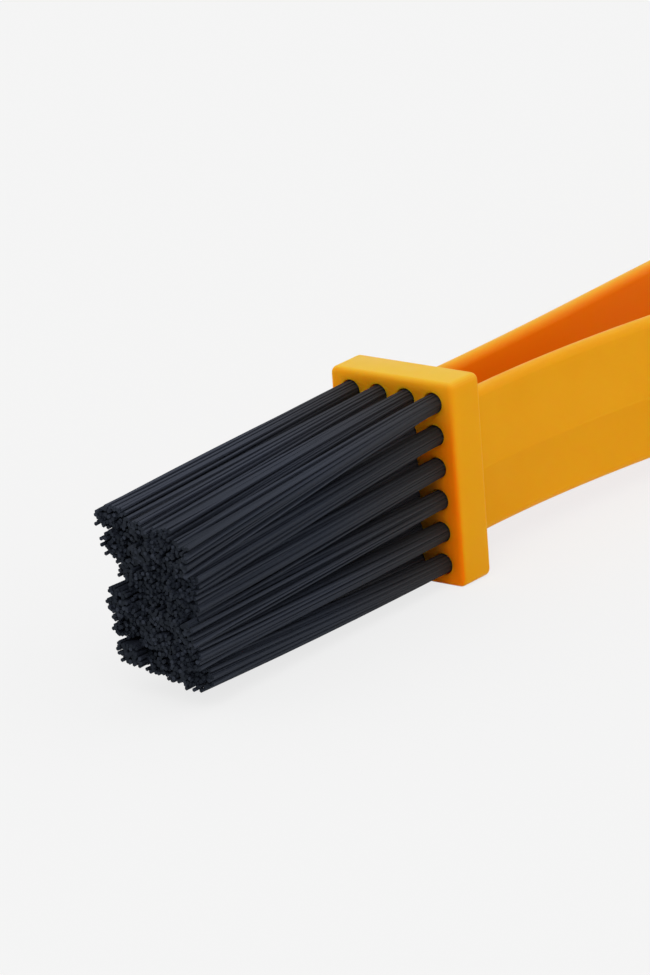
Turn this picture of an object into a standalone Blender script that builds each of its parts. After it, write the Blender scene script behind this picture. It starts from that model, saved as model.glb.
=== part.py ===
"""Squeeze-type chain cleaning brush: a block of long bristles, two springy arms and a three-sided head.

X runs across the two arms, Y from the long bristles to the head, and Z up along the brush block.
The origin is the middle of the brush block's lower end, the face that the tool stands on.
Every size is in metres.
"""

import math
import random

import bmesh
import bpy
from mathutils import Matrix, Vector

TOUCH_GAP = 0.0003  # left between two pieces that touch on the real tool

# Brush block
TUFT_COLUMNS = 4
TUFT_ROWS = 6
TUFT_PITCH = 0.0048
HOLE_RADIUS = 0.00155
HOLE_DEPTH = 0.0050
HOLE_SIDES = 12
SIDE_RIM = 0.0020  # from the outer holes to the block's long sides
END_RIM = 0.00165  # from the outer holes to the block's ends
BACK_WALL = 0.0017  # behind the bottom of a hole
CORNER_RADIUS = 0.0008  # of the block seen from its front
BLOCK_ROUNDING = 0.0004  # of its front and back edges
ROUNDING_STEPS = 3

# Long tufts
LONG_BRISTLE = 0.0560  # from the block's front to the tips
LENGTH_SPREAD = 0.0011  # how much shorter or longer one strand may be
STRAND_RADIUS = 0.00021
STRAND_TIP_RADIUS = 0.00019
STRAND_SIDES = 3
STRAND_ROOT = 0.0006  # how deep a strand is fused into its plug
STRAND_MARGIN = 0.00006  # from the outer strands to the plug's flats
TUFT_RINGS = (1, 5, 10)  # strands in the middle and in each ring round it
TIP_FLARE = 1.34  # how much wider a tuft is at its tips
TIP_STRAY = 0.00010  # how far a strand's tip strays from its place
TOP_SPAN = 0.90  # the tips' spread across X in the top row, against the holes' spread
BOTTOM_SPAN = 0.80  # the same in the lowest row
LEFT_SPAN = 0.81  # the tips' spread along Z in the first column, against the holes' spread
RIGHT_SPAN = 0.74  # the same in the last column
LEFT_LEAN = 0.0007  # how far the first column leans up at its tips
RIGHT_LEAN = -0.0019  # how far the last column does
BOTTOM_LEAN = 0.0007  # how far the lowest row leans to +X

# Flat wire that holds a tuft's fold in its hole
ANCHOR_THICKNESS = 0.0003
ANCHOR_WIDTH = 0.0014
ANCHOR_SEAT = 0.0008  # from the bottom of the hole to the wire

# Arms, with distances counted from the back of the brush block
ARM_THICKNESS = 0.0026
ARM_WIDTH = 0.0214
ARM_ROUNDING = 0.0008
ARM_STATIONS = 36
ROOT_OFFSET = 0.00645  # from the middle of the tool to an arm's outer face
ROOT_FLARE = 0.00035  # what the arm gains where it meets the block
ROOT_RUN = 0.0080  # straight stretch before the bow
ROOT_DROP = 0.0003  # the arms sit this much below the middle of the block
BOW_HEIGHT = 0.0078
BOW_RUN = 0.1100
NECK_RUN = 0.0140
SHOULDER_RUN = 0.0320
DROP_RUN = 0.1400  # over which the arms sink to the head's level
HEAD_LIFT = 0.0006  # the arms' lower edge above the jaws' lower face
HINGE_DISTANCE = 0.0015  # where the arm's bend is gathered
SQUEEZE_DEGREES = 2.7  # how far each arm closes

# Three-sided head
JAW_HEIGHT = 0.0240
JAW_THICKNESS = 0.0056
JAW_PROUD = 0.0004  # the jaw stands proud of its arm's outer face
JAW_RIM = 0.0030  # round the bristle pad, along Y
JAW_ROUNDING = 0.0012
TIP_CLEARANCE = 0.0010  # from the middle to the jaw bristles when squeezed shut
WALL_THICKNESS = 0.0042
WALL_SETBACK = 0.0030  # from the shoulder to the cross wall
WALL_INSET = 0.0006  # the wall is lower than its arm by this at each edge
WALL_ROOT = 0.0010  # how deep the wall is fused into its arm
WALL_RIM = 0.0020  # from the pad to the wall's free end
WALL_CLEARANCE = 0.0015  # from the wall's free end to the other arm, squeezed shut

# Short bristles of the head
SHORT_BRISTLE = 0.0110
SHORT_PITCH = 0.0050
SHORT_LONG_SIDE = 4  # tufts along a pad
SHORT_SHORT_SIDE = 3  # tufts across it
SHORT_STRANDS = 3  # strands in a tuft
SHORT_STRAND_RADIUS = 0.00042
SHORT_TIP_RADIUS = 0.00036
SHORT_RING = 0.00065  # from the middle of a short tuft to its strands
SHORT_FLARE = 1.5
SHORT_SPREAD = 0.0005
PAD_THICKNESS = 0.0012
PAD_MARGIN = 0.0010  # from the outer tufts' strands to the pad's edge
BRUSH_CLEARANCE = 0.0020  # from the cross wall's tips to the jaws' bristles

# Worked out from the sizes above
BLOCK_WIDTH = (TUFT_COLUMNS - 1) * TUFT_PITCH + 2 * (HOLE_RADIUS + SIDE_RIM)
BLOCK_LENGTH = (TUFT_ROWS - 1) * TUFT_PITCH + 2 * (HOLE_RADIUS + END_RIM)
BLOCK_DEPTH = HOLE_DEPTH + BACK_WALL
BLOCK_BACK = BLOCK_DEPTH / 2
BLOCK_FRONT = -BLOCK_DEPTH / 2
FLAT_SHARE = math.cos(math.pi / HOLE_SIDES)  # from a round's corner radius to its flats
PLUG_RADIUS = HOLE_RADIUS - TOUCH_GAP / FLAT_SHARE
ARM_LIFT = (BLOCK_LENGTH - ARM_WIDTH) / 2 - ROOT_DROP
SHOULDER_START = ROOT_RUN + BOW_RUN + NECK_RUN
SHOULDER_END = SHOULDER_START + SHOULDER_RUN
SQUEEZE = math.radians(SQUEEZE_DEGREES)
SHORT_REACH = SHORT_RING * SHORT_FLARE + SHORT_TIP_RADIUS  # of a short tuft at its tips
PAD_LONG = (SHORT_LONG_SIDE - 1) * SHORT_PITCH + 2 * (SHORT_REACH + PAD_MARGIN)
PAD_SHORT = (SHORT_SHORT_SIDE - 1) * SHORT_PITCH + 2 * (SHORT_REACH + PAD_MARGIN)
WALL_BACK = SHOULDER_END + WALL_SETBACK
WALL_FRONT = WALL_BACK + WALL_THICKNESS
JAW_MIDDLE = WALL_FRONT + SHORT_BRISTLE + SHORT_SPREAD + BRUSH_CLEARANCE + PAD_SHORT / 2 - PAD_MARGIN
JAW_START = JAW_MIDDLE - PAD_SHORT / 2 - JAW_RIM
JAW_END = JAW_MIDDLE + PAD_SHORT / 2 + JAW_RIM
TIP_OFFSET = (JAW_END - HINGE_DISTANCE) * math.sin(SQUEEZE) + TIP_CLEARANCE
JAW_INNER = TIP_OFFSET + SHORT_BRISTLE + SHORT_SPREAD
HEAD_OFFSET = JAW_INNER + JAW_THICKNESS - JAW_PROUD
WALL_SHIFT = (WALL_FRONT - HINGE_DISTANCE) * math.sin(SQUEEZE)
WALL_END = -(HEAD_OFFSET - ARM_THICKNESS - 2 * WALL_SHIFT - WALL_CLEARANCE)
HEAD_MIDDLE = JAW_HEIGHT / 2
HINGE_OFFSET = ROOT_OFFSET - ARM_THICKNESS / 2

ORANGE = (0.83, 0.36, 0.012, 1.0)
NAVY_BLACK = (0.012, 0.014, 0.024, 1.0)
STEEL = (0.55, 0.54, 0.52, 1.0)

parts = bpy.data.collections.new("chain_cleaning_brush")
cutters = bpy.data.collections.new("cutters")


def clear_scene():
    for obj in list(bpy.data.objects):
        bpy.data.objects.remove(obj)
    bpy.context.scene.collection.children.link(parts)
    bpy.context.scene.collection.children.link(cutters)


def make_material(name, colour, roughness, metallic):
    material = bpy.data.materials.new(name)
    material.use_nodes = True
    shader = material.node_tree.nodes["Principled BSDF"]
    shader.inputs["Base Color"].default_value = colour
    shader.inputs["Roughness"].default_value = roughness
    shader.inputs["Metallic"].default_value = metallic
    material.diffuse_color = colour
    return material


def add_object(name, bm, collection):
    mesh = bpy.data.meshes.new(name)
    bm.to_mesh(mesh)
    bm.free()
    obj = bpy.data.objects.new(name, mesh)
    collection.objects.link(obj)
    if collection is cutters:
        obj.hide_render = True
        obj.display_type = "WIRE"
    return obj


def add_piece(name, bm, look, smooth=False):
    """Links a piece of the tool, with a material of its own."""
    obj = add_object(name, bm, parts)
    obj.data.materials.append(make_material(name, *look))
    if smooth:
        obj.data.shade_smooth()
        obj.data.set_sharp_from_angle(angle=math.radians(35))
    return obj


def add_box(bm, low, high):
    low, high = Vector(low), Vector(high)
    size = high - low
    place = Matrix.Translation((low + high) / 2) @ Matrix.Diagonal((*size, 1.0))
    bmesh.ops.create_cube(bm, size=1.0, matrix=place)


def box_mesh(low, high):
    bm = bmesh.new()
    add_box(bm, low, high)
    return bm


def add_rod(bm, start, end, start_radius, end_radius, sides):
    """A straight round, or a strand of few sides, from one point to another."""
    axis = end - start
    turn = axis.to_track_quat("Z", "Y").to_matrix().to_4x4()
    place = Matrix.Translation((start + end) / 2) @ turn
    bmesh.ops.create_cone(bm, cap_ends=True, segments=sides, radius1=start_radius,
                          radius2=end_radius, depth=axis.length, matrix=place)


def round_corners(bm, radius):
    """Rounds the four edges of a box that run along Y."""
    edges = [edge for edge in bm.edges if abs((edge.verts[0].co - edge.verts[1].co).y) > TOUCH_GAP]
    bmesh.ops.bevel(bm, geom=edges, offset=radius, offset_type="OFFSET", affect="EDGES",
                    segments=ROUNDING_STEPS, profile=0.5)


def add_bevel(obj, width, segments):
    bevel = obj.modifiers.new("rounding", "BEVEL")
    bevel.width = width
    bevel.segments = segments
    bevel.limit_method = "ANGLE"
    bevel.angle_limit = math.radians(40)


def add_boolean(obj, other, operation):
    boolean = obj.modifiers.new(other.name, "BOOLEAN")
    boolean.operation = operation
    boolean.solver = "EXACT"
    boolean.material_mode = "TRANSFER"
    boolean.object = other


def half_wave(share):
    """Rises smoothly from 0 to 1 as the share does."""
    share = min(max(share, 0.0), 1.0)
    return (1 - math.cos(math.pi * share)) / 2


def arm_offset(distance):
    """From the middle of the tool to an arm's outer face, at a distance behind the block."""
    flare = ROOT_FLARE * max(0.0, 1 - distance / ROOT_RUN) ** 2
    bow = BOW_HEIGHT * half_wave((distance - ROOT_RUN) / BOW_RUN)
    shoulder = HEAD_OFFSET - ROOT_OFFSET - BOW_HEIGHT
    return ROOT_OFFSET + flare + bow + shoulder * half_wave((distance - SHOULDER_START) / SHOULDER_RUN)


def arm_bottom(distance):
    return ARM_LIFT + (HEAD_LIFT - ARM_LIFT) * half_wave(distance / DROP_RUN)


def arm_height(distance):
    head = JAW_HEIGHT - 2 * HEAD_LIFT
    return ARM_WIDTH + (head - ARM_WIDTH) * half_wave((distance - SHOULDER_START) / SHOULDER_RUN)


def hole_place(column, row):
    """Middle of a hole's mouth."""
    x = (column - (TUFT_COLUMNS - 1) / 2) * TUFT_PITCH
    z = BLOCK_LENGTH / 2 + (row - (TUFT_ROWS - 1) / 2) * TUFT_PITCH
    return Vector((x, BLOCK_FRONT, z))


def tip_place(column, row):
    """Middle of a tuft at its tips: the tufts draw together and lean a little."""
    mouth = hole_place(column, row)
    right = column / max(TUFT_COLUMNS - 1, 1)
    top = row / max(TUFT_ROWS - 1, 1)
    x_span = BOTTOM_SPAN + (TOP_SPAN - BOTTOM_SPAN) * top
    z_span = LEFT_SPAN + (RIGHT_SPAN - LEFT_SPAN) * right
    x = mouth.x * x_span + BOTTOM_LEAN * (1 - top)
    z = BLOCK_LENGTH / 2 + (mouth.z - BLOCK_LENGTH / 2) * z_span
    z += LEFT_LEAN + (RIGHT_LEAN - LEFT_LEAN) * right
    return Vector((x, BLOCK_FRONT - LONG_BRISTLE, z))


def tuft_rings(outer_radius):
    """Places of a tuft's strands, as points round its middle in the plane of the block's face."""
    places = []
    for ring, count in enumerate(TUFT_RINGS):
        radius = outer_radius * ring / (len(TUFT_RINGS) - 1)
        for step in range(count):
            angle = 2 * math.pi * (step + 0.5 * ring) / count
            places.append(Vector((radius * math.cos(angle), 0, radius * math.sin(angle))))
    return places


def build_block(plastic):
    bm = box_mesh((-BLOCK_WIDTH / 2, BLOCK_FRONT, 0), (BLOCK_WIDTH / 2, BLOCK_BACK, BLOCK_LENGTH))
    round_corners(bm, CORNER_RADIUS)
    block = add_piece("brush_block", bm, plastic)
    add_bevel(block, BLOCK_ROUNDING, ROUNDING_STEPS)
    holes = bmesh.new()
    overshoot = Vector((0, -BACK_WALL, 0))
    for row in range(TUFT_ROWS):
        for column in range(TUFT_COLUMNS):
            mouth = hole_place(column, row)
            bottom = mouth + Vector((0, HOLE_DEPTH, 0))
            add_rod(holes, mouth + overshoot, bottom, HOLE_RADIUS, HOLE_RADIUS, HOLE_SIDES)
    add_boolean(block, add_object("tuft_holes", holes, cutters), "DIFFERENCE")


def build_long_tuft(column, row, bristle, draw):
    """One tuft: a plug that fills its hole, fused with its strands, with a way through for its wire."""
    name = f"long_tuft_r{row + 1}c{column + 1}"
    mouth = hole_place(column, row)
    tip = tip_place(column, row)
    plug = bmesh.new()
    back = mouth + Vector((0, HOLE_DEPTH - TOUCH_GAP, 0))
    add_rod(plug, mouth, back, PLUG_RADIUS, PLUG_RADIUS, HOLE_SIDES)
    tuft = add_piece(name, plug, bristle, smooth=True)
    outer = PLUG_RADIUS * FLAT_SHARE - STRAND_RADIUS - STRAND_MARGIN
    strands = bmesh.new()
    for place in tuft_rings(outer):
        stray = Vector((draw.uniform(-TIP_STRAY, TIP_STRAY), 0, draw.uniform(-TIP_STRAY, TIP_STRAY)))
        stray.y = draw.uniform(-LENGTH_SPREAD, LENGTH_SPREAD)
        start = mouth + place
        end = tip + place * TIP_FLARE + stray
        root = start - (end - start).normalized() * STRAND_ROOT
        add_rod(strands, root, end, STRAND_RADIUS, STRAND_TIP_RADIUS, STRAND_SIDES)
    add_boolean(tuft, add_object(f"strands_{name}", strands, cutters), "UNION")

    reach = Vector((PLUG_RADIUS * FLAT_SHARE, ANCHOR_WIDTH / 2, ANCHOR_THICKNESS / 2))
    middle = mouth + Vector((0, HOLE_DEPTH - ANCHOR_SEAT - ANCHOR_WIDTH / 2, 0))
    room = Vector((HOLE_RADIUS, reach.y + TOUCH_GAP, reach.z + TOUCH_GAP))
    window = add_object(f"window_{name}", box_mesh(middle - room, middle + room), cutters)
    add_boolean(tuft, window, "DIFFERENCE")
    return box_mesh(middle - reach, middle + reach)


def build_tufts(bristle, steel):
    draw = random.Random(11)
    for row in range(TUFT_ROWS):
        for column in range(TUFT_COLUMNS):
            anchor = build_long_tuft(column, row, bristle, draw)
            add_piece(f"tuft_anchor_r{row + 1}c{column + 1}", anchor, steel)


def build_hinge(name, side):
    """An empty on the line that an arm bends about."""
    hinge = bpy.data.objects.new(name, None)
    hinge.empty_display_size = ARM_THICKNESS
    hinge.location = (side * HINGE_OFFSET, BLOCK_BACK + HINGE_DISTANCE, 0)
    parts.objects.link(hinge)
    return hinge


def hang_on(piece, hinge):
    """Parents a piece to its hinge and leaves it where it is."""
    place = Matrix.Translation(hinge.location)
    piece.parent = hinge
    piece.matrix_basis = place.inverted() @ piece.matrix_basis


def strap_mesh(side):
    """The outer face of an arm as an open sheet, from inside the block's back to inside the jaw."""
    bm = bmesh.new()
    bmesh.ops.create_grid(bm, x_segments=ARM_STATIONS, y_segments=1, size=0.5)
    start, end = -ARM_THICKNESS, JAW_END - JAW_RIM / 2
    for vert in bm.verts:
        distance = start + (vert.co.x + 0.5) * (end - start)
        z = arm_bottom(distance) + (vert.co.y + 0.5) * arm_height(distance)
        vert.co = (side * arm_offset(max(distance, 0.0)), BLOCK_BACK + distance, z)
    if side < 0:
        bmesh.ops.reverse_faces(bm, faces=bm.faces)
    return bm


def pad_pocket(name, low, high, hinge):
    pocket = add_object(name, box_mesh(low, high), cutters)
    hang_on(pocket, hinge)
    return pocket


def build_arm(name, side, hinge, plastic):
    """A springy strap with a jaw at its end, cut for the pad of bristles."""
    arm = add_piece(name, strap_mesh(side), plastic, smooth=True)
    solidify = arm.modifiers.new("wall", "SOLIDIFY")
    solidify.thickness = ARM_THICKNESS
    solidify.offset = -1.0
    solidify.use_even_offset = True
    add_bevel(arm, ARM_ROUNDING, 2)

    inner, outer = side * JAW_INNER, side * (JAW_INNER + JAW_THICKNESS)
    low = (min(inner, outer), BLOCK_BACK + JAW_START, 0)
    high = (max(inner, outer), BLOCK_BACK + JAW_END, JAW_HEIGHT)
    jaw = add_object(f"jaw_{name}", box_mesh(low, high), cutters)
    add_bevel(jaw, JAW_ROUNDING, ROUNDING_STEPS)
    add_boolean(arm, jaw, "UNION")
    hang_on(jaw, hinge)

    across = PAD_SHORT / 2 + TOUCH_GAP
    along = PAD_LONG / 2 + TOUCH_GAP
    near = side * (JAW_INNER - TOUCH_GAP)
    far = side * (JAW_INNER + PAD_THICKNESS + TOUCH_GAP)
    middle = BLOCK_BACK + JAW_MIDDLE
    pocket = pad_pocket(f"pocket_{name}", (min(near, far), middle - across, HEAD_MIDDLE - along),
                        (max(near, far), middle + across, HEAD_MIDDLE + along), hinge)
    add_boolean(arm, pocket, "DIFFERENCE")
    hang_on(arm, hinge)
    return arm


def build_cross_wall(arm, hinge):
    """The wall that closes the head's third side, fused to one arm and free at the other."""
    wide = HEAD_OFFSET - ARM_THICKNESS + WALL_ROOT
    low = (WALL_END, BLOCK_BACK + WALL_BACK, HEAD_LIFT + WALL_INSET)
    high = (wide, BLOCK_BACK + WALL_FRONT, JAW_HEIGHT - HEAD_LIFT - WALL_INSET)
    wall = add_object("cross_wall", box_mesh(low, high), cutters)
    add_bevel(wall, ARM_ROUNDING, 2)
    add_boolean(arm, wall, "UNION")
    hang_on(wall, hinge)

    left = WALL_END + WALL_RIM - TOUCH_GAP
    right = WALL_END + WALL_RIM + PAD_LONG + TOUCH_GAP
    across = PAD_SHORT / 2 + TOUCH_GAP
    front = BLOCK_BACK + WALL_FRONT
    pocket = pad_pocket("pocket_cross_wall", (left, front - PAD_THICKNESS - TOUCH_GAP, HEAD_MIDDLE - across),
                        (right, front + TOUCH_GAP, HEAD_MIDDLE + across), hinge)
    add_boolean(arm, pocket, "DIFFERENCE")


def trim_root(arm, name, hinge):
    """Cuts an arm square, just behind the block."""
    reach = BLOCK_WIDTH
    low = (-reach, BLOCK_BACK - 2 * ARM_THICKNESS, -reach)
    high = (reach, BLOCK_BACK + TOUCH_GAP, BLOCK_LENGTH + reach)
    trim = add_object(f"trim_{name}", box_mesh(low, high), cutters)
    hang_on(trim, hinge)
    add_boolean(arm, trim, "DIFFERENCE")


def build_short_brush(name, place, hinge, plastic, bristle, draw):
    """A pad of short tufts: three strands a tuft, fused to a slice of the head's plastic.

    It is made lying flat, with its long side along Y and its strands up, then set in its pocket.
    """
    low = (-PAD_SHORT / 2, -PAD_LONG / 2, -PAD_THICKNESS)
    pad = add_piece(name, box_mesh(low, (PAD_SHORT / 2, PAD_LONG / 2, 0)), plastic)
    strands = bmesh.new()
    for row in range(SHORT_LONG_SIDE):
        for column in range(SHORT_SHORT_SIDE):
            x = (column - (SHORT_SHORT_SIDE - 1) / 2) * SHORT_PITCH
            y = (row - (SHORT_LONG_SIDE - 1) / 2) * SHORT_PITCH
            turn = draw.uniform(0, math.pi)
            for step in range(SHORT_STRANDS):
                angle = turn + 2 * math.pi * step / SHORT_STRANDS
                ring = Vector((SHORT_RING * math.cos(angle), SHORT_RING * math.sin(angle), 0))
                height = SHORT_BRISTLE + draw.uniform(-SHORT_SPREAD, SHORT_SPREAD)
                start = Vector((x, y, -PAD_THICKNESS / 2)) + ring
                end = Vector((x, y, height)) + ring * SHORT_FLARE
                add_rod(strands, start, end, SHORT_STRAND_RADIUS, SHORT_TIP_RADIUS, STRAND_SIDES)
    bundle = add_object(f"strands_{name}", strands, cutters)
    bundle.data.materials.append(make_material(f"strands_{name}", *bristle))
    add_boolean(pad, bundle, "UNION")
    for obj in (pad, bundle):
        obj.matrix_basis = place
        hang_on(obj, hinge)


def facing(middle, across, out):
    """Where a pad goes: its short side runs along one direction and its strands along another."""
    across, out = Vector(across), Vector(out)
    turn = Matrix((across, out.cross(across), out)).transposed().to_4x4()
    return Matrix.Translation(middle) @ turn


def build_head(left_hinge, right_hinge, plastic, bristle):
    draw = random.Random(23)
    y = BLOCK_BACK + JAW_MIDDLE
    left = facing((-JAW_INNER, y, HEAD_MIDDLE), (0, 1, 0), (1, 0, 0))
    right = facing((JAW_INNER, y, HEAD_MIDDLE), (0, 1, 0), (-1, 0, 0))
    x = WALL_END + WALL_RIM + PAD_LONG / 2
    wall = facing((x, BLOCK_BACK + WALL_FRONT, HEAD_MIDDLE), (0, 0, 1), (0, 1, 0))
    build_short_brush("left_jaw_bristles", left, left_hinge, plastic, bristle, draw)
    build_short_brush("right_jaw_bristles", right, right_hinge, plastic, bristle, draw)
    build_short_brush("cross_wall_bristles", wall, right_hinge, plastic, bristle, draw)


def main():
    clear_scene()
    plastic = (ORANGE, 0.42, 0.0)
    bristle = (NAVY_BLACK, 0.38, 0.0)
    steel = (STEEL, 0.35, 1.0)
    build_block(plastic)
    build_tufts(bristle, steel)
    left_hinge = build_hinge("left_hinge", -1)
    right_hinge = build_hinge("right_hinge", 1)
    left_arm = build_arm("left_arm", -1, left_hinge, plastic)
    right_arm = build_arm("right_arm", 1, right_hinge, plastic)
    build_cross_wall(right_arm, right_hinge)
    trim_root(left_arm, "left_arm", left_hinge)
    trim_root(right_arm, "right_arm", right_hinge)
    build_head(left_hinge, right_hinge, plastic, bristle)


main()
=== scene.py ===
import math
import random
import bpy
from mathutils import Matrix, Vector


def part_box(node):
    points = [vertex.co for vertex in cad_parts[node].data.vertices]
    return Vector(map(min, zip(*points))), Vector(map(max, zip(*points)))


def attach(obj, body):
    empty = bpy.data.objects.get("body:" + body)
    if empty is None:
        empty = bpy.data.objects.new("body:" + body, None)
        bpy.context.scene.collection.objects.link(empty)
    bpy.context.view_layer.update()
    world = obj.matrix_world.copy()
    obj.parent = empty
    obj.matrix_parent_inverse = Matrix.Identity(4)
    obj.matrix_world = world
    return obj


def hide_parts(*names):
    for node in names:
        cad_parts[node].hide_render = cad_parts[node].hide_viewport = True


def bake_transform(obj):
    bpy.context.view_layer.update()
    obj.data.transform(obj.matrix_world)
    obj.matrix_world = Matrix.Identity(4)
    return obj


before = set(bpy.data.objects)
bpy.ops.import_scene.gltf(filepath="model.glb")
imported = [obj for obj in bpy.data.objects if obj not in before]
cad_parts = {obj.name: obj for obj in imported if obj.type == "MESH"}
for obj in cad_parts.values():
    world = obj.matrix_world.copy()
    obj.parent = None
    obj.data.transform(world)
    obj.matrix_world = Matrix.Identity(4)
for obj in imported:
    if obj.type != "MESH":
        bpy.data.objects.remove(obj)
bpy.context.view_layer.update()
print("frame loaded")

# small helpers

xAxis, yAxis, zAxis = Vector((1, 0, 0)), Vector((0, 1, 0)), Vector((0, 0, 1))
mergeWithin = 0.000002  # points that are closer than this become one
sharpEdge = math.radians(40)  # edges that are sharper than this get rounded


def deselectAll():
    if bpy.context.object and bpy.context.object.mode != "OBJECT":
        bpy.ops.object.mode_set(mode="OBJECT")
    bpy.ops.object.select_all(action="DESELECT")


def useOnly(piece):
    deselectAll()
    piece.select_set(True)
    bpy.context.view_layer.objects.active = piece


def settle(piece):  # place and size go into the mesh
    useOnly(piece)
    bpy.ops.object.transform_apply(location=True, rotation=True, scale=True)


def pick(piece, kind, test):  # selects what the test finds, and stays in edit mode
    useOnly(piece)
    bpy.ops.object.mode_set(mode="EDIT")
    bpy.ops.mesh.select_mode(type=kind)
    bpy.ops.mesh.select_all(action="DESELECT")
    bpy.ops.object.mode_set(mode="OBJECT")
    for item in piece.data.vertices if kind == "VERT" else piece.data.edges:
        item.select = bool(test(item))
    bpy.ops.object.mode_set(mode="EDIT")


def edgeEnds(piece, edge):
    return [piece.data.vertices[i].co for i in edge.vertices]


def finishMesh(piece, angle):
    # one skin with its normals outwards, shaded smooth where it bends by less than the angle
    useOnly(piece)
    bpy.ops.object.mode_set(mode="EDIT")
    bpy.ops.mesh.select_all(action="SELECT")
    bpy.ops.mesh.remove_doubles(threshold=mergeWithin)
    bpy.ops.mesh.normals_make_consistent(inside=False)
    bpy.ops.object.mode_set(mode="OBJECT")
    bpy.ops.object.shade_smooth_by_angle(angle=math.radians(angle))


def applyModifier(piece, kind, **settings):
    useOnly(piece)
    modifier = piece.modifiers.new(kind.lower(), kind)
    for name, value in settings.items():
        setattr(modifier, name, value)
    bpy.ops.object.modifier_apply(modifier=modifier.name)


def combine(piece, tool, operation):
    applyModifier(piece, "BOOLEAN", object=tool, operation=operation, solver="EXACT")
    bpy.data.objects.remove(tool)


def copyOf(piece, name):
    double = piece.copy()
    double.data = piece.data.copy()
    double.name = name
    bpy.context.scene.collection.objects.link(double)
    return double


def joinAll(pieces, name):
    deselectAll()
    for piece in pieces:
        piece.select_set(True)
    bpy.context.view_layer.objects.active = pieces[0]
    bpy.ops.object.join()
    pieces[0].name = name
    return pieces[0]


def roundedBox(name, low, high, edge, edgeSteps, corner=0, cornerSteps=0, axis=0):
    # a box whose four edges along one axis are rounded first, and then all that is still sharp
    deselectAll()
    bpy.ops.mesh.primitive_cube_add(size=1, location=(low + high) / 2, scale=high - low)
    box = bpy.context.object
    box.name = name
    settle(box)

    def runsAlong(item):
        a, b = edgeEnds(box, item)
        return abs((a - b)[axis]) > (high - low)[axis] / 2

    if corner > 0:
        pick(box, "EDGE", runsAlong)
        bpy.ops.mesh.bevel(offset=corner, segments=cornerSteps, affect="EDGES")
        bpy.ops.object.mode_set(mode="OBJECT")
    applyModifier(box, "BEVEL", width=edge, segments=edgeSteps,
                  limit_method="ANGLE", angle_limit=sharpEdge)
    return box


def boxMiddle(node):
    low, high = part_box(node)
    return (low + high) / 2


# plastic, nylon and steel finishes

noiseSpan = (0.3, 0.7)  # most of a noise lies between these


def newMaterial(name):
    material = bpy.data.materials.new(name)
    material.use_nodes = True
    return material, material.node_tree.nodes, material.node_tree.links


def addNode(nodes, kind, **inputs):
    node = nodes.new(kind)
    for name, value in inputs.items():
        node.inputs[name].default_value = value
    return node


def feed(links, socket, value):  # from another node, or a plain value
    if isinstance(value, bpy.types.NodeSocket):
        links.new(value, socket)
    else:
        socket.default_value = value


def addNoise(nodes, links, coords, scale, detail, rough=0.5):
    noise = addNode(nodes, "ShaderNodeTexNoise", Scale=scale, Detail=detail, Roughness=rough)
    links.new(coords, noise.inputs["Vector"])
    return noise.outputs["Fac"]


def addRange(nodes, links, value, low, high, toLow, toHigh):
    node = addNode(nodes, "ShaderNodeMapRange")
    for i, number in enumerate((low, high, toLow, toHigh)):
        node.inputs[i + 1].default_value = number
    links.new(value, node.inputs[0])
    return node.outputs[0]


def addMath(nodes, links, operation, first, second):
    node = nodes.new("ShaderNodeMath")
    node.operation = operation
    feed(links, node.inputs[0], first)
    feed(links, node.inputs[1], second)
    return node.outputs[0]


def mixColour(nodes, links, share, first, second, blend="MIX"):
    node = nodes.new("ShaderNodeMix")
    node.data_type = "RGBA"
    node.blend_type = blend
    feed(links, node.inputs[0], share)
    feed(links, node.inputs[6], first)
    feed(links, node.inputs[7], second)
    return node.outputs[2]


def addBump(nodes, links, height, strength, distance):
    bump = addNode(nodes, "ShaderNodeBump", Strength=strength, Distance=distance)
    links.new(height, bump.inputs["Height"])
    return bump


def readTone(nodes, name):  # a number that a piece keeps for each of its faces or points
    tone = nodes.new("ShaderNodeAttribute")
    tone.attribute_name = name
    return tone.outputs["Fac"]


def keepWithin(nodes, links, place, share, box, fade):
    # the share stays as it is inside the box, and fades to nothing at its sides
    for axis, (middle, half) in box.items():
        offset = addMath(nodes, links, "SUBTRACT", place.outputs[axis], middle)
        distance = addMath(nodes, links, "ABSOLUTE", offset, 0.0)
        inside = addRange(nodes, links, distance, half - fade / 2, half + fade / 2, 1.0, 0.0)
        share = addMath(nodes, links, "MULTIPLY", share, inside)
    return share


plasticLook = {
    "colour": (0.820, 0.374, 0.0098, 1.0),
    "cloudColour": (0.800, 0.350, 0.0085, 1.0),
    "clouds": {"scale": 70.0, "detail": 3.0},  # soft changes of colour, about 14 mm across
    "paintedSheenColour": (0.830, 0.485, 0.0340, 1.0),  # painted sheen where it faces up
    "paleFalloff": 2.5,
    "paintedShadeColour": (0.90, 0.225, 0.002, 1.0),  # painted shade, deeper and redder: between the arms and round the long bristles
    "frontFalloff": 3,
    "innerShade": 1.5,  # how much painted shade the arms' inner sides have, against 1 on the block's front
    "toneHeights": (0.0, 0.030),
    "toneAtHeights": (3.2, 0.0),  # the painted shade grows towards the floor
    "shadeColour": (0.42, 0.150, 0.012, 1.0),  # painted shade on the block's front among the lower tufts
    "shadeBox": {"X": (0.0, 0.0073), "Z": (0.01025, 0.00825)},  # its middle and half its size
    "shadeFade": 0.0020,
    "roughness": (0.36, 0.45),
    "specular": 0.05,
    "glow": 1.0,  # light that passes through the plastic, mostly red
    "glowDepth": 0.0013,
    "glowColour": (1.0, 0.45, 0.12),
    "grain": {"scale": 2600.0, "detail": 2.0, "rough": 0.6},  # the mould's fine grain, about 0.4 mm
    "grainBump": (0.5, 0.000012),  # strength and depth
    "wave": {"scale": 260.0, "detail": 1.0},  # sink and flow, about 4 mm
    "waveBump": (0.35, 0.00003),
}


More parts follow.
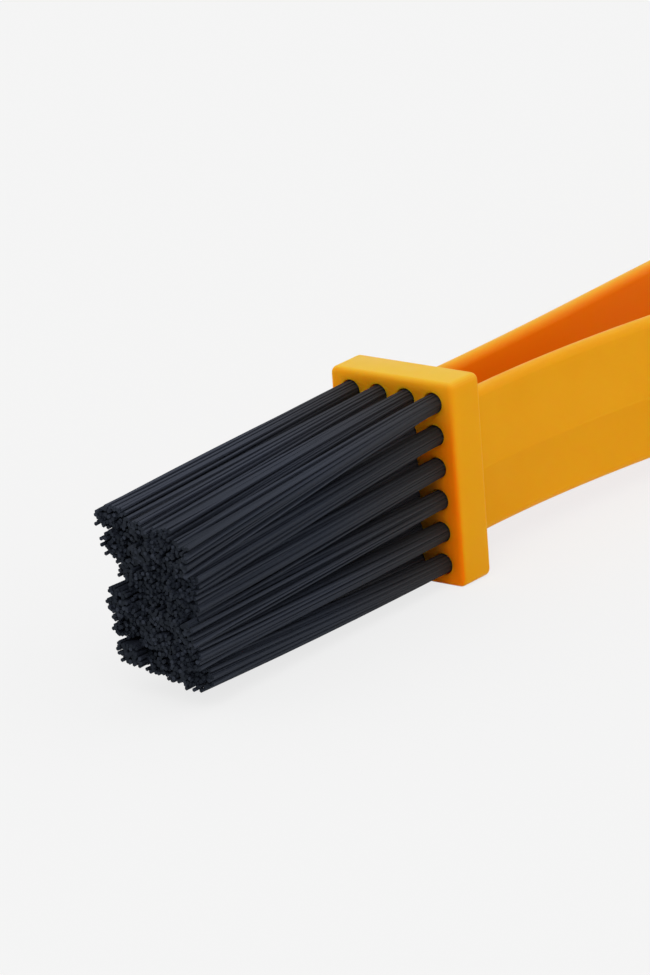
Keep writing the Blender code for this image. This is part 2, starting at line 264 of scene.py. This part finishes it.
def makePlastic():
    material, nodes, links = newMaterial("orangePlastic")
    look = plasticLook
    shader = nodes["Principled BSDF"]
    coords = nodes.new("ShaderNodeTexCoord").outputs["Object"]
    place = nodes.new("ShaderNodeSeparateXYZ")
    links.new(coords, place.inputs[0])
    clouds = addNoise(nodes, links, coords, **look["clouds"])
    cloudShare = addRange(nodes, links, clouds, *noiseSpan, 0.0, 1.0)
    colour = mixColour(nodes, links, cloudShare, look["colour"], look["cloudColour"])
    # painted sheen on faces turned up
    colour = mixColour(nodes, links, readTone(nodes, "paintedSheenTone"), colour, look["paintedSheenColour"])
    # painted shade, deeper and redder, on the arms' inner sides and the block's front, growing towards the
    # floor
    byHeight = addRange(nodes, links, place.outputs["Z"], *look["toneHeights"], *look["toneAtHeights"])
    depth = addMath(nodes, links, "MULTIPLY", readTone(nodes, "paintedShadeTone"), byHeight)
    depth.node.use_clamp = True
    colour = mixColour(nodes, links, depth, colour, look["paintedShadeColour"])
    # painted shade on the block's front among the lower tufts
    front = readTone(nodes, "frontShadeTone")
    shade = keepWithin(nodes, links, place, front, look["shadeBox"], look["shadeFade"])
    colour = mixColour(nodes, links, shade, colour, look["shadeColour"])
    links.new(colour, shader.inputs["Base Color"])
    wave = addNoise(nodes, links, coords, **look["wave"])
    links.new(addRange(nodes, links, wave, *noiseSpan, *look["roughness"]), shader.inputs["Roughness"])
    coarse = addBump(nodes, links, wave, *look["waveBump"])
    fine = addBump(nodes, links, addNoise(nodes, links, coords, **look["grain"]), *look["grainBump"])
    links.new(coarse.outputs["Normal"], fine.inputs["Normal"])
    links.new(fine.outputs["Normal"], shader.inputs["Normal"])
    shader.inputs["Specular IOR Level"].default_value = look["specular"]
    shader.inputs["Subsurface Weight"].default_value = look["glow"]
    shader.inputs["Subsurface Scale"].default_value = look["glowDepth"]
    shader.inputs["Subsurface Radius"].default_value = look["glowColour"]
    return material


nylonLook = {
    "dark": (0.0170, 0.0200, 0.0290, 1.0),
    "light": (0.0270, 0.0315, 0.0450, 1.0),
    "streaks": {"scale": 1500.0, "detail": 2.0},
    "streakSpan": (0.35, 0.65),
    "streakShare": 0.3,
    "streakBump": (0.3, 0.00001),  # strength and depth
    "rootBounceColour": (0.0280, 0.0236, 0.0190, 1.0),  # painted warm light bounced from the orange block: the long strands are less blue near it
    "rootRun": (-0.0320, -0.0040),
    "rootShare": 0.8,
    "topLightColour": (0.0550, 0.0620, 0.0860, 1.0),  # painted light from above: the uppermost strands are lighter
    "topRise": (0.0240, 0.0300),
    "topShare": 0.9,
    "innerLightColour": (0.0620, 0.0640, 0.0740, 1.0),  # painted light on the inner strands near the block, seen through gaps
    "innerRun": (-0.0500, -0.0340),
    "innerBox": {"X": (0.0, 0.0052), "Z": (0.0135, 0.0110)},  # middle and half size
    "innerFade": 0.0010,
    "tipShade": (0.46, 0.48, 0.48, 1.0),  # the cut tips are darker, most of them
    "roughness": (0.43, 0.56),
    "specular": 0.12,
    "tint": (0.66, 0.82, 1.0, 1.0),
}


def makeNylon():
    material, nodes, links = newMaterial("blackNylon")
    look = nylonLook
    shader = nodes["Principled BSDF"]
    coords = nodes.new("ShaderNodeTexCoord").outputs["Object"]
    place = nodes.new("ShaderNodeSeparateXYZ")
    links.new(coords, place.inputs[0])
    colour = mixColour(nodes, links, readTone(nodes, "strandTone"), look["dark"], look["light"])
    streaks = addNoise(nodes, links, coords, **look["streaks"])
    streakShare = addRange(nodes, links, streaks, *look["streakSpan"], 0.0, look["streakShare"])
    colour = mixColour(nodes, links, streakShare, colour, look["light"])
    # painted light on the uppermost strands
    nearTop = addRange(nodes, links, place.outputs["Z"], *look["topRise"], 0.0, look["topShare"])
    colour = mixColour(nodes, links, nearTop, colour, look["topLightColour"])
    # painted warm bounce light on the long strands near the block
    nearRoot = addRange(nodes, links, place.outputs["Y"], *look["rootRun"], 0.0, look["rootShare"])
    colour = mixColour(nodes, links, nearRoot, colour, look["rootBounceColour"])
    # painted light on the inner strands near the block, against their shade
    nearBlock = addRange(nodes, links, place.outputs["Y"], *look["innerRun"], 0.0, 1.0)
    inner = keepWithin(nodes, links, place, nearBlock, look["innerBox"], look["innerFade"])
    colour = mixColour(nodes, links, inner, colour, look["innerLightColour"])
    colour = mixColour(nodes, links, readTone(nodes, "tipTone"), colour, look["tipShade"], blend="MULTIPLY")
    links.new(colour, shader.inputs["Base Color"])
    links.new(addRange(nodes, links, streaks, *noiseSpan, *look["roughness"]), shader.inputs["Roughness"])
    bump = addBump(nodes, links, streaks, *look["streakBump"])
    links.new(bump.outputs["Normal"], shader.inputs["Normal"])
    shader.inputs["Specular IOR Level"].default_value = look["specular"]
    shader.inputs["Specular Tint"].default_value = look["tint"]
    return material


steelLook = {
    "bright": (0.62, 0.61, 0.58, 1.0),
    "dull": (0.42, 0.41, 0.39, 1.0),
    "noise": {"scale": 1800.0, "detail": 3.0},
    "roughness": (0.28, 0.45),
}


def makeSteel():
    material, nodes, links = newMaterial("flatWireSteel")
    look = steelLook
    shader = nodes["Principled BSDF"]
    coords = nodes.new("ShaderNodeTexCoord").outputs["Object"]
    noise = addNoise(nodes, links, coords, **look["noise"])
    links.new(mixColour(nodes, links, noise, look["bright"], look["dull"]), shader.inputs["Base Color"])
    links.new(addRange(nodes, links, noise, *noiseSpan, *look["roughness"]), shader.inputs["Roughness"])
    shader.inputs["Metallic"].default_value = 1.0
    return material


plastic = makePlastic()
nylon = makeNylon()
steel = makeSteel()


def dress(piece, material):
    piece.data.materials.clear()
    piece.data.materials.append(material)


def toneFaces(piece, paintedSheenShare, frontShadeShare):
    # painted sheen makes the plastic paler on faces turned up, and painted shade makes it deeper between
    # the arms and round the long bristles
    look = plasticLook
    faces = piece.data.polygons
    pale = [paintedSheenShare * max(face.normal.z, 0) ** look["paleFalloff"] for face in faces]
    front = [frontShadeShare * max(-face.normal.y, 0) ** look["frontFalloff"] for face in faces]
    inner = [look["innerShade"] * face.normal.x * (-1 if face.center.x > 0 else 1) for face in faces]
    deep = [max(*tones, 0) for tones in zip(inner, front)]
    for name, tones in (("paintedSheenTone", pale), ("paintedShadeTone", deep), ("frontShadeTone", front)):
        piece.data.attributes.new(name, "FLOAT", "FACE").data.foreach_set("value", tones)


print("materials made")

# places that come from the frame
blockLow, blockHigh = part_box("brush_block")
blockFront, blockBack = blockLow.y, blockHigh.y
rows = sum(name.startswith("tuft_anchor_") and name.endswith("c1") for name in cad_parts)
columns = sum(name.startswith("tuft_anchor_r1c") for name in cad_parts)
tuftPlaces = [(row, column) for row in range(1, rows + 1) for column in range(1, columns + 1)]


def holeMiddle(row, column):
    middle = boxMiddle(f"tuft_anchor_r{row}c{column}")
    return Vector((middle.x, blockFront, middle.z))


# brush block

brushBlock = {
    "corner": 0.0011,  # seen from the front
    "edge": 0.0008,
    "cornerSteps": 5,
    "edgeSteps": 5,
    "holeRadius": 0.00155,
    "holeDepth": 0.0050,
    "holeSides": 32,
    "rim": 0.00012,  # softened mouth of each hole
    "smoothAngle": 32,  # degrees
    "paintedSheenShare": 1.0,  # shares of the plastic's painted sheen and painted shade
    "frontShadeShare": 1.0,
}


def makeHoleCutter(name, mouths, inward, radius, depth, sides):
    # a cylinder for each hole, all joined into one cutter
    deselectAll()
    over = 0.001  # how far the cutter stands out of the hole
    bpy.ops.mesh.primitive_cylinder_add(vertices=sides, radius=radius, depth=depth + over)
    first = bpy.context.object
    turn = inward.to_track_quat("Z", "Y").to_matrix().to_4x4()
    copies = []
    for i, mouth in enumerate(mouths):
        hole = copyOf(first, f"{name}{i}")
        hole.data.transform(Matrix.Translation(mouth + inward * (depth - over) / 2) @ turn)
        copies.append(hole)
    bpy.data.objects.remove(first)
    return joinAll(copies, name)


def softenRims(piece, mouths, inward, radius, width):
    # the edges that lie round a mouth, in the plane of the face it is cut into
    offPlane, offCircle = 0.00002, 0.00004

    def onMouth(point, mouth):
        reach = point - mouth
        return abs(reach.dot(inward)) < offPlane and abs(reach.length - radius) < offCircle

    def onRim(edge):
        ends = edgeEnds(piece, edge)
        return any(all(onMouth(end, mouth) for end in ends) for mouth in mouths)

    pick(piece, "EDGE", onRim)
    bpy.ops.mesh.bevel(offset=width, segments=2, affect="EDGES", clamp_overlap=True)
    bpy.ops.object.mode_set(mode="OBJECT")


def makeBrushBlock():
    s = brushBlock
    block = roundedBox("brushBlock", blockLow, blockHigh, s["edge"], s["edgeSteps"],
                       s["corner"], s["cornerSteps"], axis=1)
    mouths = [holeMiddle(row, column) for row, column in tuftPlaces]
    cutter = makeHoleCutter("holeCutter", mouths, yAxis, s["holeRadius"], s["holeDepth"], s["holeSides"])
    combine(block, cutter, "DIFFERENCE")
    softenRims(block, mouths, yAxis, s["holeRadius"], s["rim"])
    finishMesh(block, s["smoothAngle"])
    toneFaces(block, s["paintedSheenShare"], s["frontShadeShare"])
    dress(block, plastic)
    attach(block, "brush_end")
    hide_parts("brush_block")


makeBrushBlock()
print("brush block made")

# filaments and tufts

filament = {
    "sides": 6,
    "steps": 8,
    "tipGrowth": 1.22,  # the cut tips are a little thicker
    "rootPull": 0.16,  # how far a strand runs straight on from its hole, as a share of its length
    "tipPull": 0.38,
    "paleTips": 0.9,  # the tips of pale strands are hardly darker
    "smoothAngle": 50,
}


def makeFilament(name, radius):
    # one straight strand of length 1 along Z, drawn out from a disc step by step
    deselectAll()
    bpy.ops.mesh.primitive_circle_add(vertices=filament["sides"], radius=radius, fill_type="NGON")
    strand = bpy.context.object
    strand.name = name
    bpy.ops.object.mode_set(mode="EDIT")
    bpy.ops.mesh.select_all(action="SELECT")
    step = 1 / filament["steps"]
    for i in range(filament["steps"]):
        bpy.ops.mesh.extrude_region_move(TRANSFORM_OT_translate={"value": (0, 0, step)})
    growth = filament["tipGrowth"]
    bpy.ops.transform.resize(value=(growth, growth, 1), center_override=(0, 0, 1))
    bpy.ops.object.mode_set(mode="OBJECT")
    finishMesh(strand, filament["smoothAngle"])
    strand.data.attributes.new("strandTone", "FLOAT", "POINT")
    caps = [float(face.center.z > 1 - step / 4) for face in strand.data.polygons]
    strand.data.attributes.new("tipTone", "FLOAT", "FACE").data.foreach_set("value", caps)
    return strand


def bendAlong(strand, start, end, lead, bow, tone):
    # lays a straight strand along a smooth line, out of its hole along lead and then on to its tip
    span = (end - start).length
    firstPull = start + lead * span * filament["rootPull"]
    lastPull = end - (end - start) * filament["tipPull"] + bow
    axis = (end - start).normalized()
    turn = axis.to_track_quat("Z", "Y").to_matrix()
    for vertex in strand.data.vertices:
        t = vertex.co.z
        u = 1 - t
        place = start * u ** 3 + firstPull * 3 * u * u * t + lastPull * 3 * u * t * t + end * t ** 3
        vertex.co = place + turn @ Vector((vertex.co.x, vertex.co.y, 0))
    tones = [tone] * len(strand.data.vertices)
    strand.data.attributes["strandTone"].data.foreach_set("value", tones)
    for cap in strand.data.attributes["tipTone"].data:
        cap.value *= 1 - filament["paleTips"] * tone


def spiralPlaces(count, radius, turn=0.0):
    # places that fill a disc evenly
    golden = math.pi * (3 - math.sqrt(5))
    places = []
    for i in range(count):
        reach = radius * math.sqrt((i + 0.5) / count)
        places.append((reach * math.cos(i * golden + turn), reach * math.sin(i * golden + turn)))
    return places


longTuft = {
    "strands": 62,
    "radius": 0.00025,
    "rootSpread": 0.00128,
    "tipHalf": (0.00214, 0.00174),  # half of a tuft's width and height at its tips
    "squeeze": 0.984,  # the rows lie a little closer together at their tips
    "squareness": 0.75,  # 0 leaves the tips of a tuft round, 1 makes them square
    "root": 0.0026,  # how deep the strands start in their hole
    "rowLength": (0.0552, 0.0556, 0.0560, 0.0553, 0.0553, 0.0556),  # from the bottom row to the top
    "columnGain": (0.0, 0.0004, 0.0012, 0.0022),  # from the first column to the last
    "worn": {  # how much shorter some tufts are, by row and column
        (5, 1): 0.0003,
        (4, 1): 0.0014,
        (2, 1): 0.0004,
        (1, 2): 0.0006,
        (1, 3): 0.0009,
        (1, 4): 0.0016,
    },
    "long": {(1, 1): 0.0009, (3, 1): 0.0008},  # and how much longer these are
    "fan": {(6, 4): 1.25, (6, 3): 1.20, (5, 4): 1.15, (3, 4): 1.15},  # these spread wider at their tips
    "lengthSpread": 0.00016,
    "slant": 0.0009,  # how much a tuft's tips are cut aslant, from one side to the other
    "stray": 0.00018,
    "wildShare": 0.03,  # strands that leave their tuft
    "wildStray": 0.0003,
    "bow": 0.0005,
    "darkBias": 3,  # the higher, the fewer strands are pale
    "tipZone": 0.003,  # where the tips of the CAD tufts are looked for
    "seed": 5,
}


def cadTip(row, column):
    # middle of a tuft's tips, from the far ends of its CAD strands
    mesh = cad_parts[f"long_tuft_r{row}c{column}"].data
    end = min(v.co.y for v in mesh.vertices)
    tips = [v.co for v in mesh.vertices if v.co.y < end + longTuft["tipZone"]]
    return sum(tips, Vector()) / len(tips)


def towardsSquare(x, y, share):
    # moves a place on the unit disc outwards, towards the unit square
    reach = math.hypot(x, y)
    if reach == 0:
        return x, y
    grow = reach / max(abs(x), abs(y))
    return x * (1 + (grow - 1) * share), y * (1 + (grow - 1) * share)


def makeLongTufts():
    s = longTuft
    draw = random.Random(s["seed"])
    template = makeFilament("longStrand", s["radius"])
    middle = (blockLow.z + blockHigh.z) / 2
    for row, column in tuftPlaces:
        mouth = holeMiddle(row, column)
        tip = cadTip(row, column)
        place = (row, column)
        length = s["rowLength"][row - 1] + s["columnGain"][column - 1]
        tip.y = blockFront - length + s["worn"].get(place, 0) - s["long"].get(place, 0)
        tip.z = middle + (tip.z - middle) * s["squeeze"]
        strands = []
        turn = draw.uniform(0, 2 * math.pi)
        slant = Vector((math.cos(turn), math.sin(turn))) * s["slant"]
        fan = s["fan"].get(place, 1.0)
        for x, y in spiralPlaces(s["strands"], 1.0, turn):
            strand = copyOf(template, f"strand{len(strands)}")
            start = mouth + Vector((x * s["rootSpread"], s["root"], y * s["rootSpread"]))
            wild = s["wildStray"] if draw.random() < s["wildShare"] else 0
            cut = draw.gauss(0, s["lengthSpread"]) + slant.x * x + slant.y * y
            stray = Vector((draw.gauss(0, s["stray"] + wild), cut, draw.gauss(0, s["stray"] + wild)))
            across, up = towardsSquare(x, y, s["squareness"])
            end = tip + Vector((across * s["tipHalf"][0], 0, up * fan * s["tipHalf"][1])) + stray
            bow = Vector((draw.uniform(-1, 1), 0, draw.uniform(-1, 1))) * s["bow"]
            bendAlong(strand, start, end, -yAxis, bow, draw.random() ** s["darkBias"])
            strands.append(strand)
        tuft = joinAll(strands, f"longTuft{row}{column}")
        dress(tuft, nylon)
        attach(tuft, "brush_end")
        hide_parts(f"long_tuft_r{row}c{column}")
    bpy.data.objects.remove(template)


makeLongTufts()
print("long tufts made")

# the flat wires stay as they are in the frame
for row, column in tuftPlaces:
    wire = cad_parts[f"tuft_anchor_r{row}c{column}"]
    wire.data.materials.clear()
    wire.data.materials.append(steel)

# arms, with distances counted from the back of the block

arm = {
    "thickness": 0.0026,
    "width": 0.0214,
    "rounding": 0.0012,  # nearly half of the thickness
    "roundingSteps": 6,
    "ridgePlace": 0.45,  # a faint ridge along the outer face, as a share of its width from below
    "ridgeFoot": 0.012,  # from the ridge to its foot, as a share of the width
    "ridgeHeight": 0.00007,
    "ridgeMargin": 0.002,  # its points are looked for within this share of the width
    "rootOffset": 0.00645,  # outer face at the root, from the middle of the brush
    "rootFlare": 0.00035,  # and this much more right at the block
    "rootRun": 0.0080,
    "rootDrop": 0.0003,  # how far the root lies below the block's middle
    "bowHeight": 0.0078,  # how far the arm bows outwards along bowRun
    "bowRun": 0.1100,
    "neckRun": 0.0140,
    "shoulderRun": 0.0320,  # where the arm steps out to its jaw
    "dropRun": 0.1400,  # where it sinks towards the floor
    "headLift": 0.0006,  # the arm's edges stop this far inside the jaw's
    "step": 0.0025,
    "embed": 0.0012,  # how far the root reaches into the block
    "bendRun": 0.0450,  # the stretch that flexes
    "drawnAngle": 35,  # degrees, for the shading before the arm gets its jaw and holes
    "smoothAngle": 32,
    # shares of the plastic's painted sheen and painted shade
    "paintedSheenShare": 0.18,
    "frontShadeShare": 0.0,
}

head = {
    "jawHeight": 0.0240,
    "jawThickness": 0.0056,
    "jawProud": 0.0004,  # the jaw stands this far out of the arm's outer face
    "jawRounding": 0.0012,
    "jawSteps": 5,
    "jawLength": 0.02067,
    "strapShort": 0.25,  # the strap ends this share of the jaw's length before the jaw's end
    "wallThickness": 0.0042,
    "wallSetback": 0.0030,  # from the end of the shoulder to the cross wall
    "wallInset": 0.0006,  # the wall's edges stop this far inside the arm's
    "wallRoot": 0.0010,  # how far it reaches into the arm
    "wallRounding": 0.0008,
    "wallSteps": 4,
    "wallOver": 0.0020,  # how far the wall reaches past its bristles
    "holeRadius": 0.00140,
    "holeDepth": 0.0034,
    "holeSides": 24,
    "pitch": 0.0050,  # from hole to hole in a pad of 3 by 4
    "padAcross": 3,
    "padAlong": 4,
    "rim": 0.00012,
}

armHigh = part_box("right_arm")[1]
jawOuter = armHigh.x
jawInner = jawOuter - head["jawThickness"]
jawEnd = armHigh.y - blockBack
jawStart = jawEnd - head["jawLength"]
headOffset = jawOuter - head["jawProud"]
armLift = (blockHigh.z - arm["width"]) / 2 - arm["rootDrop"]
shoulderStart = arm["rootRun"] + arm["bowRun"] + arm["neckRun"]
shoulderEnd = shoulderStart + arm["shoulderRun"]


def halfWave(share):
    share = min(max(share, 0.0), 1.0)
    return (1 - math.cos(math.pi * share)) / 2


def armOffset(distance):
    distance = max(distance, 0.0)
    flare = arm["rootFlare"] * max(0.0, 1 - distance / arm["rootRun"]) ** 2
    bow = arm["bowHeight"] * halfWave((distance - arm["rootRun"]) / arm["bowRun"])
    shoulder = headOffset - arm["rootOffset"] - arm["bowHeight"]
    rise = shoulder * halfWave((distance - shoulderStart) / arm["shoulderRun"])
    return arm["rootOffset"] + flare + bow + rise


def armBottom(distance):
    return armLift + (arm["headLift"] - armLift) * halfWave(distance / arm["dropRun"])


def armHeight(distance):
    gain = head["jawHeight"] - 2 * arm["headLift"] - arm["width"]
    return arm["width"] + gain * halfWave((distance - shoulderStart) / arm["shoulderRun"])


def armMiddle(distance):
    return armBottom(distance) + armHeight(distance) / 2


def makeStrap(name, side):
    # a standing edge at the root is drawn out along the arm, and then made as thick as the arm
    ridge, foot = arm["ridgePlace"], arm["ridgeFoot"]
    points = (0, ridge - foot, ridge, ridge + foot, 1)  # shares of the width
    spaces = len(points) - 1
    deselectAll()
    bpy.ops.mesh.primitive_plane_add(size=1)
    strap = bpy.context.object
    strap.name = name
    pick(strap, "VERT", lambda v: v.co.x > 0)
    bpy.ops.mesh.delete(type="VERT")
    bpy.ops.mesh.select_all(action="SELECT")
    bpy.ops.mesh.subdivide(number_cuts=spaces - 1)
    bpy.ops.object.mode_set(mode="OBJECT")
    start = -arm["embed"]
    end = jawEnd - head["jawLength"] * head["strapShort"]
    for vertex in strap.data.vertices:
        up = points[round((vertex.co.y + 0.5) * spaces)]
        vertex.co = (side * armOffset(start), blockBack + start, armBottom(start) + up * armHeight(start))
    pick(strap, "VERT", lambda v: True)
    count = round((end - start) / arm["step"])
    before = start
    for i in range(1, count + 1):
        now = start + (end - start) * i / count
        outwards = side * (armOffset(now) - armOffset(before))
        move = (outwards, now - before, armMiddle(now) - armMiddle(before))
        bpy.ops.mesh.extrude_edges_move(TRANSFORM_OT_translate={"value": move})
        bpy.ops.transform.resize(value=(1, 1, armHeight(now) / armHeight(before)),
                                 center_override=(side * armOffset(now), blockBack + now, armMiddle(now)))
        before = now
    bpy.ops.mesh.select_all(action="SELECT")
    bpy.ops.object.mode_set(mode="OBJECT")
    outward = strap.data.polygons[0].normal.x * side > 0
    applyModifier(strap, "SOLIDIFY", thickness=arm["thickness"], offset=-1.0 if outward else 1.0,
                  use_even_offset=True)

    def onRidge(vertex):
        distance = vertex.co.y - blockBack
        share = (vertex.co.z - armBottom(distance)) / armHeight(distance)
        outside = vertex.co.x * side > armOffset(distance) - arm["thickness"] / 2
        return outside and abs(share - ridge) < arm["ridgeMargin"]

    pick(strap, "VERT", onRidge)
    bpy.ops.transform.translate(value=(side * arm["ridgeHeight"], 0, 0))
    bpy.ops.object.mode_set(mode="OBJECT")
    finishMesh(strap, arm["drawnAngle"])
    applyModifier(strap, "BEVEL", width=arm["rounding"], segments=arm["roundingSteps"],
                  limit_method="ANGLE", angle_limit=sharpEdge)
    return strap


def makeJaw(side):
    low = Vector((min(side * jawInner, side * jawOuter), blockBack + jawStart, 0))
    high = Vector((max(side * jawInner, side * jawOuter), blockBack + jawEnd, head["jawHeight"]))
    return roundedBox("jaw", low, high, head["jawRounding"], head["jawSteps"])


def padMouths(middle, across, along):
    # mouths of a pad's holes, in its face
    places = []
    for i in range(head["padAlong"]):
        for j in range(head["padAcross"]):
            a = (j - (head["padAcross"] - 1) / 2) * head["pitch"]
            b = (i - (head["padAlong"] - 1) / 2) * head["pitch"]
            places.append(middle + across * a + along * b)
    return places


padMiddle = boxMiddle("right_jaw_bristles")
wallPadMiddle = boxMiddle("cross_wall_bristles")
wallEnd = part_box("cross_wall_bristles")[0].x - head["wallOver"]
wallFront = blockBack + shoulderEnd + head["wallSetback"] + head["wallThickness"]
jawMouths = {}
for side in (-1, 1):
    jawMouths[side] = padMouths(Vector((side * jawInner, padMiddle.y, padMiddle.z)), yAxis, zAxis)
wallMouths = padMouths(Vector((wallPadMiddle.x, wallFront, padMiddle.z)), zAxis, xAxis)


def makeWall():
    low = Vector((wallEnd, wallFront - head["wallThickness"], arm["headLift"] + head["wallInset"]))
    high = Vector((headOffset - arm["thickness"] + head["wallRoot"], wallFront,
                   head["jawHeight"] - arm["headLift"] - head["wallInset"]))
    return roundedBox("wall", low, high, head["wallRounding"], head["wallSteps"])


def drillPad(piece, mouths, inward):
    radius = head["holeRadius"]
    cutter = makeHoleCutter("padCutter", mouths, inward, radius, head["holeDepth"], head["holeSides"])
    combine(piece, cutter, "DIFFERENCE")
    softenRims(piece, mouths, inward, radius, head["rim"])


def makeArm(name, side, node):
    strap = makeStrap(name, side)
    combine(strap, makeJaw(side), "UNION")
    if side > 0:  # only the right arm carries the cross wall
        combine(strap, makeWall(), "UNION")
        drillPad(strap, wallMouths, -yAxis)
    drillPad(strap, jawMouths[side], xAxis * side)
    finishMesh(strap, arm["smoothAngle"])
    toneFaces(strap, arm["paintedSheenShare"], arm["frontShadeShare"])
    dress(strap, plastic)
    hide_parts(node)
    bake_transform(strap)


makeArm("leftArm", -1, "left_arm")
makeArm("rightArm", 1, "right_arm")
print("arms made")

shortTuft = {
    "strands": 20,
    "radius": 0.00022,
    "rootSpread": 0.00115,
    "tipSpread": 0.00165,
    "root": 0.0024,
    "length": 0.0110,
    "lengthSpread": 0.0004,
    "stray": 0.00012,
    "bow": 0.00015,
    "darkBias": 2,
}


def makeShortTufts(name, mouths, out, node, body, seed):
    s = shortTuft
    draw = random.Random(seed)
    template = makeFilament("shortStrand", s["radius"])
    turn = out.to_track_quat("Z", "Y").to_matrix()
    strands = []
    for mouth in mouths:
        roots = spiralPlaces(s["strands"], s["rootSpread"])
        ends = spiralPlaces(s["strands"], s["tipSpread"])
        spin = turn @ Matrix.Rotation(draw.uniform(0, 2 * math.pi), 3, "Z")
        for i in range(s["strands"]):
            strand = copyOf(template, f"{name}{len(strands)}")
            start = mouth - out * s["root"] + spin @ Vector((*roots[i], 0))
            stray = Vector((draw.uniform(-1, 1), draw.uniform(-1, 1), 0)) * s["stray"]
            stray.z = s["length"] + draw.uniform(-1, 1) * s["lengthSpread"]
            end = mouth + spin @ (Vector((*ends[i], 0)) + stray)
            bow = turn @ Vector((draw.uniform(-1, 1), draw.uniform(-1, 1), 0)) * s["bow"]
            bendAlong(strand, start, end, out, bow, draw.random() ** s["darkBias"])
            strands.append(strand)
    pad = joinAll(strands, name)
    bpy.data.objects.remove(template)
    dress(pad, nylon)
    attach(pad, body)
    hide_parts(node)


makeShortTufts("leftJawTufts", jawMouths[-1], xAxis, "left_jaw_bristles", "left_side", seed=31)
makeShortTufts("rightJawTufts", jawMouths[1], -xAxis, "right_jaw_bristles", "right_side", seed=32)
makeShortTufts("crossWallTufts", wallMouths, yAxis, "cross_wall_bristles", "right_side", seed=33)
print("head tufts made")

# floor, light and camera

stage = {
    "floorSize": 8.0,
    "pale": 0.913,  # the background of the photograph
    "shadowShare": 0.16,  # how much of the object's shadow the floor shows
    "skyStrength": 0.80,
    "sunStrength": 0.68,
    "sunAngle": 40.0,  # degrees, wide for soft shadows
    "sunHeight": 55.0,  # degrees above the floor
    "sunSide": 30.0,  # degrees round from the long bristles' side, towards +X
}


def seesBackground(nodes, links):  # 1 for the camera, reflections and what is seen through something
    path = nodes.new("ShaderNodeLightPath")
    seen = addMath(nodes, links, "MAXIMUM", path.outputs["Is Camera Ray"], path.outputs["Is Glossy Ray"])
    return addMath(nodes, links, "MAXIMUM", seen, path.outputs["Is Transmission Ray"])


def makeFloor():
    deselectAll()
    bpy.ops.mesh.primitive_plane_add(size=stage["floorSize"], location=(0, 0, 0))
    floor = bpy.context.object
    floor.name = "floor"
    material, nodes, links = newMaterial("paleFloor")
    pale = (stage["pale"], stage["pale"], stage["pale"], 1.0)
    shader = nodes["Principled BSDF"]
    shader.inputs["Base Color"].default_value = pale
    shader.inputs["Roughness"].default_value = 1.0
    shader.inputs["Specular IOR Level"].default_value = 0.0
    glow = addNode(nodes, "ShaderNodeEmission", Color=pale, Strength=1.0)
    share = addMath(nodes, links, "MULTIPLY", seesBackground(nodes, links), 1 - stage["shadowShare"])
    mix = nodes.new("ShaderNodeMixShader")
    links.new(share, mix.inputs[0])
    links.new(shader.outputs[0], mix.inputs[1])
    links.new(glow.outputs[0], mix.inputs[2])
    links.new(mix.outputs[0], nodes["Material Output"].inputs["Surface"])
    floor.data.materials.append(material)


def makeSky():
    world = bpy.data.worlds.new("paleSky")
    world.use_nodes = True
    nodes, links = world.node_tree.nodes, world.node_tree.links
    back = nodes["Background"]
    seen = seesBackground(nodes, links)
    strength = addRange(nodes, links, seen, 0.0, 1.0, stage["skyStrength"], stage["pale"])
    back.inputs["Color"].default_value = (1, 1, 1, 1)
    links.new(strength, back.inputs["Strength"])
    bpy.context.scene.world = world


def fromAngles(around, above):
    # the direction that lies this far round from -Y towards +X, and this far above the floor
    level = math.cos(above)
    return Vector((math.sin(around) * level, -math.cos(around) * level, math.sin(above)))


def makeSun():
    deselectAll()
    bpy.ops.object.light_add(type="SUN", location=(0, 0, 1))
    sun = bpy.context.object
    sun.name = "softSun"
    sun.data.energy = stage["sunStrength"]
    sun.data.angle = math.radians(stage["sunAngle"])
    towards = fromAngles(math.radians(stage["sunSide"]), math.radians(stage["sunHeight"]))
    sun.rotation_euler = towards.to_track_quat("Z", "Y").to_euler()


camera = {
    "target": (-0.00796, -0.00985, 0.01450),
    "azimuth": 38.2405,  # degrees, like the next two
    "elevation": 18.4279,
    "roll": -4.2028,
    "distance": 0.94518,
    "lens": 245.82,  # millimetres, like the sensor
    "sensor": 36.0,
    "clipStart": 0.01,
}


def makeCamera():
    azimuth = math.radians(camera["azimuth"])
    right = Vector((math.cos(azimuth), math.sin(azimuth), 0))
    back = fromAngles(azimuth, math.radians(camera["elevation"]))
    up = back.cross(right)
    turn = Matrix((right, up, back)).transposed().to_4x4()
    roll = Matrix.Rotation(math.radians(camera["roll"]), 4, "Z")
    data = bpy.data.cameras.new("photoCamera")
    data.lens = camera["lens"]
    data.sensor_width = camera["sensor"]
    data.clip_start = camera["clipStart"]
    shot = bpy.data.objects.new("photoCamera", data)
    bpy.context.scene.collection.objects.link(shot)
    place = Vector(camera["target"]) + back * camera["distance"]
    shot.matrix_world = Matrix.Translation(place) @ turn @ roll
    bpy.context.scene.camera = shot


makeFloor()
makeSky()
makeSun()
makeCamera()
bpy.context.scene.view_settings.view_transform = "Standard"
print("stage made")
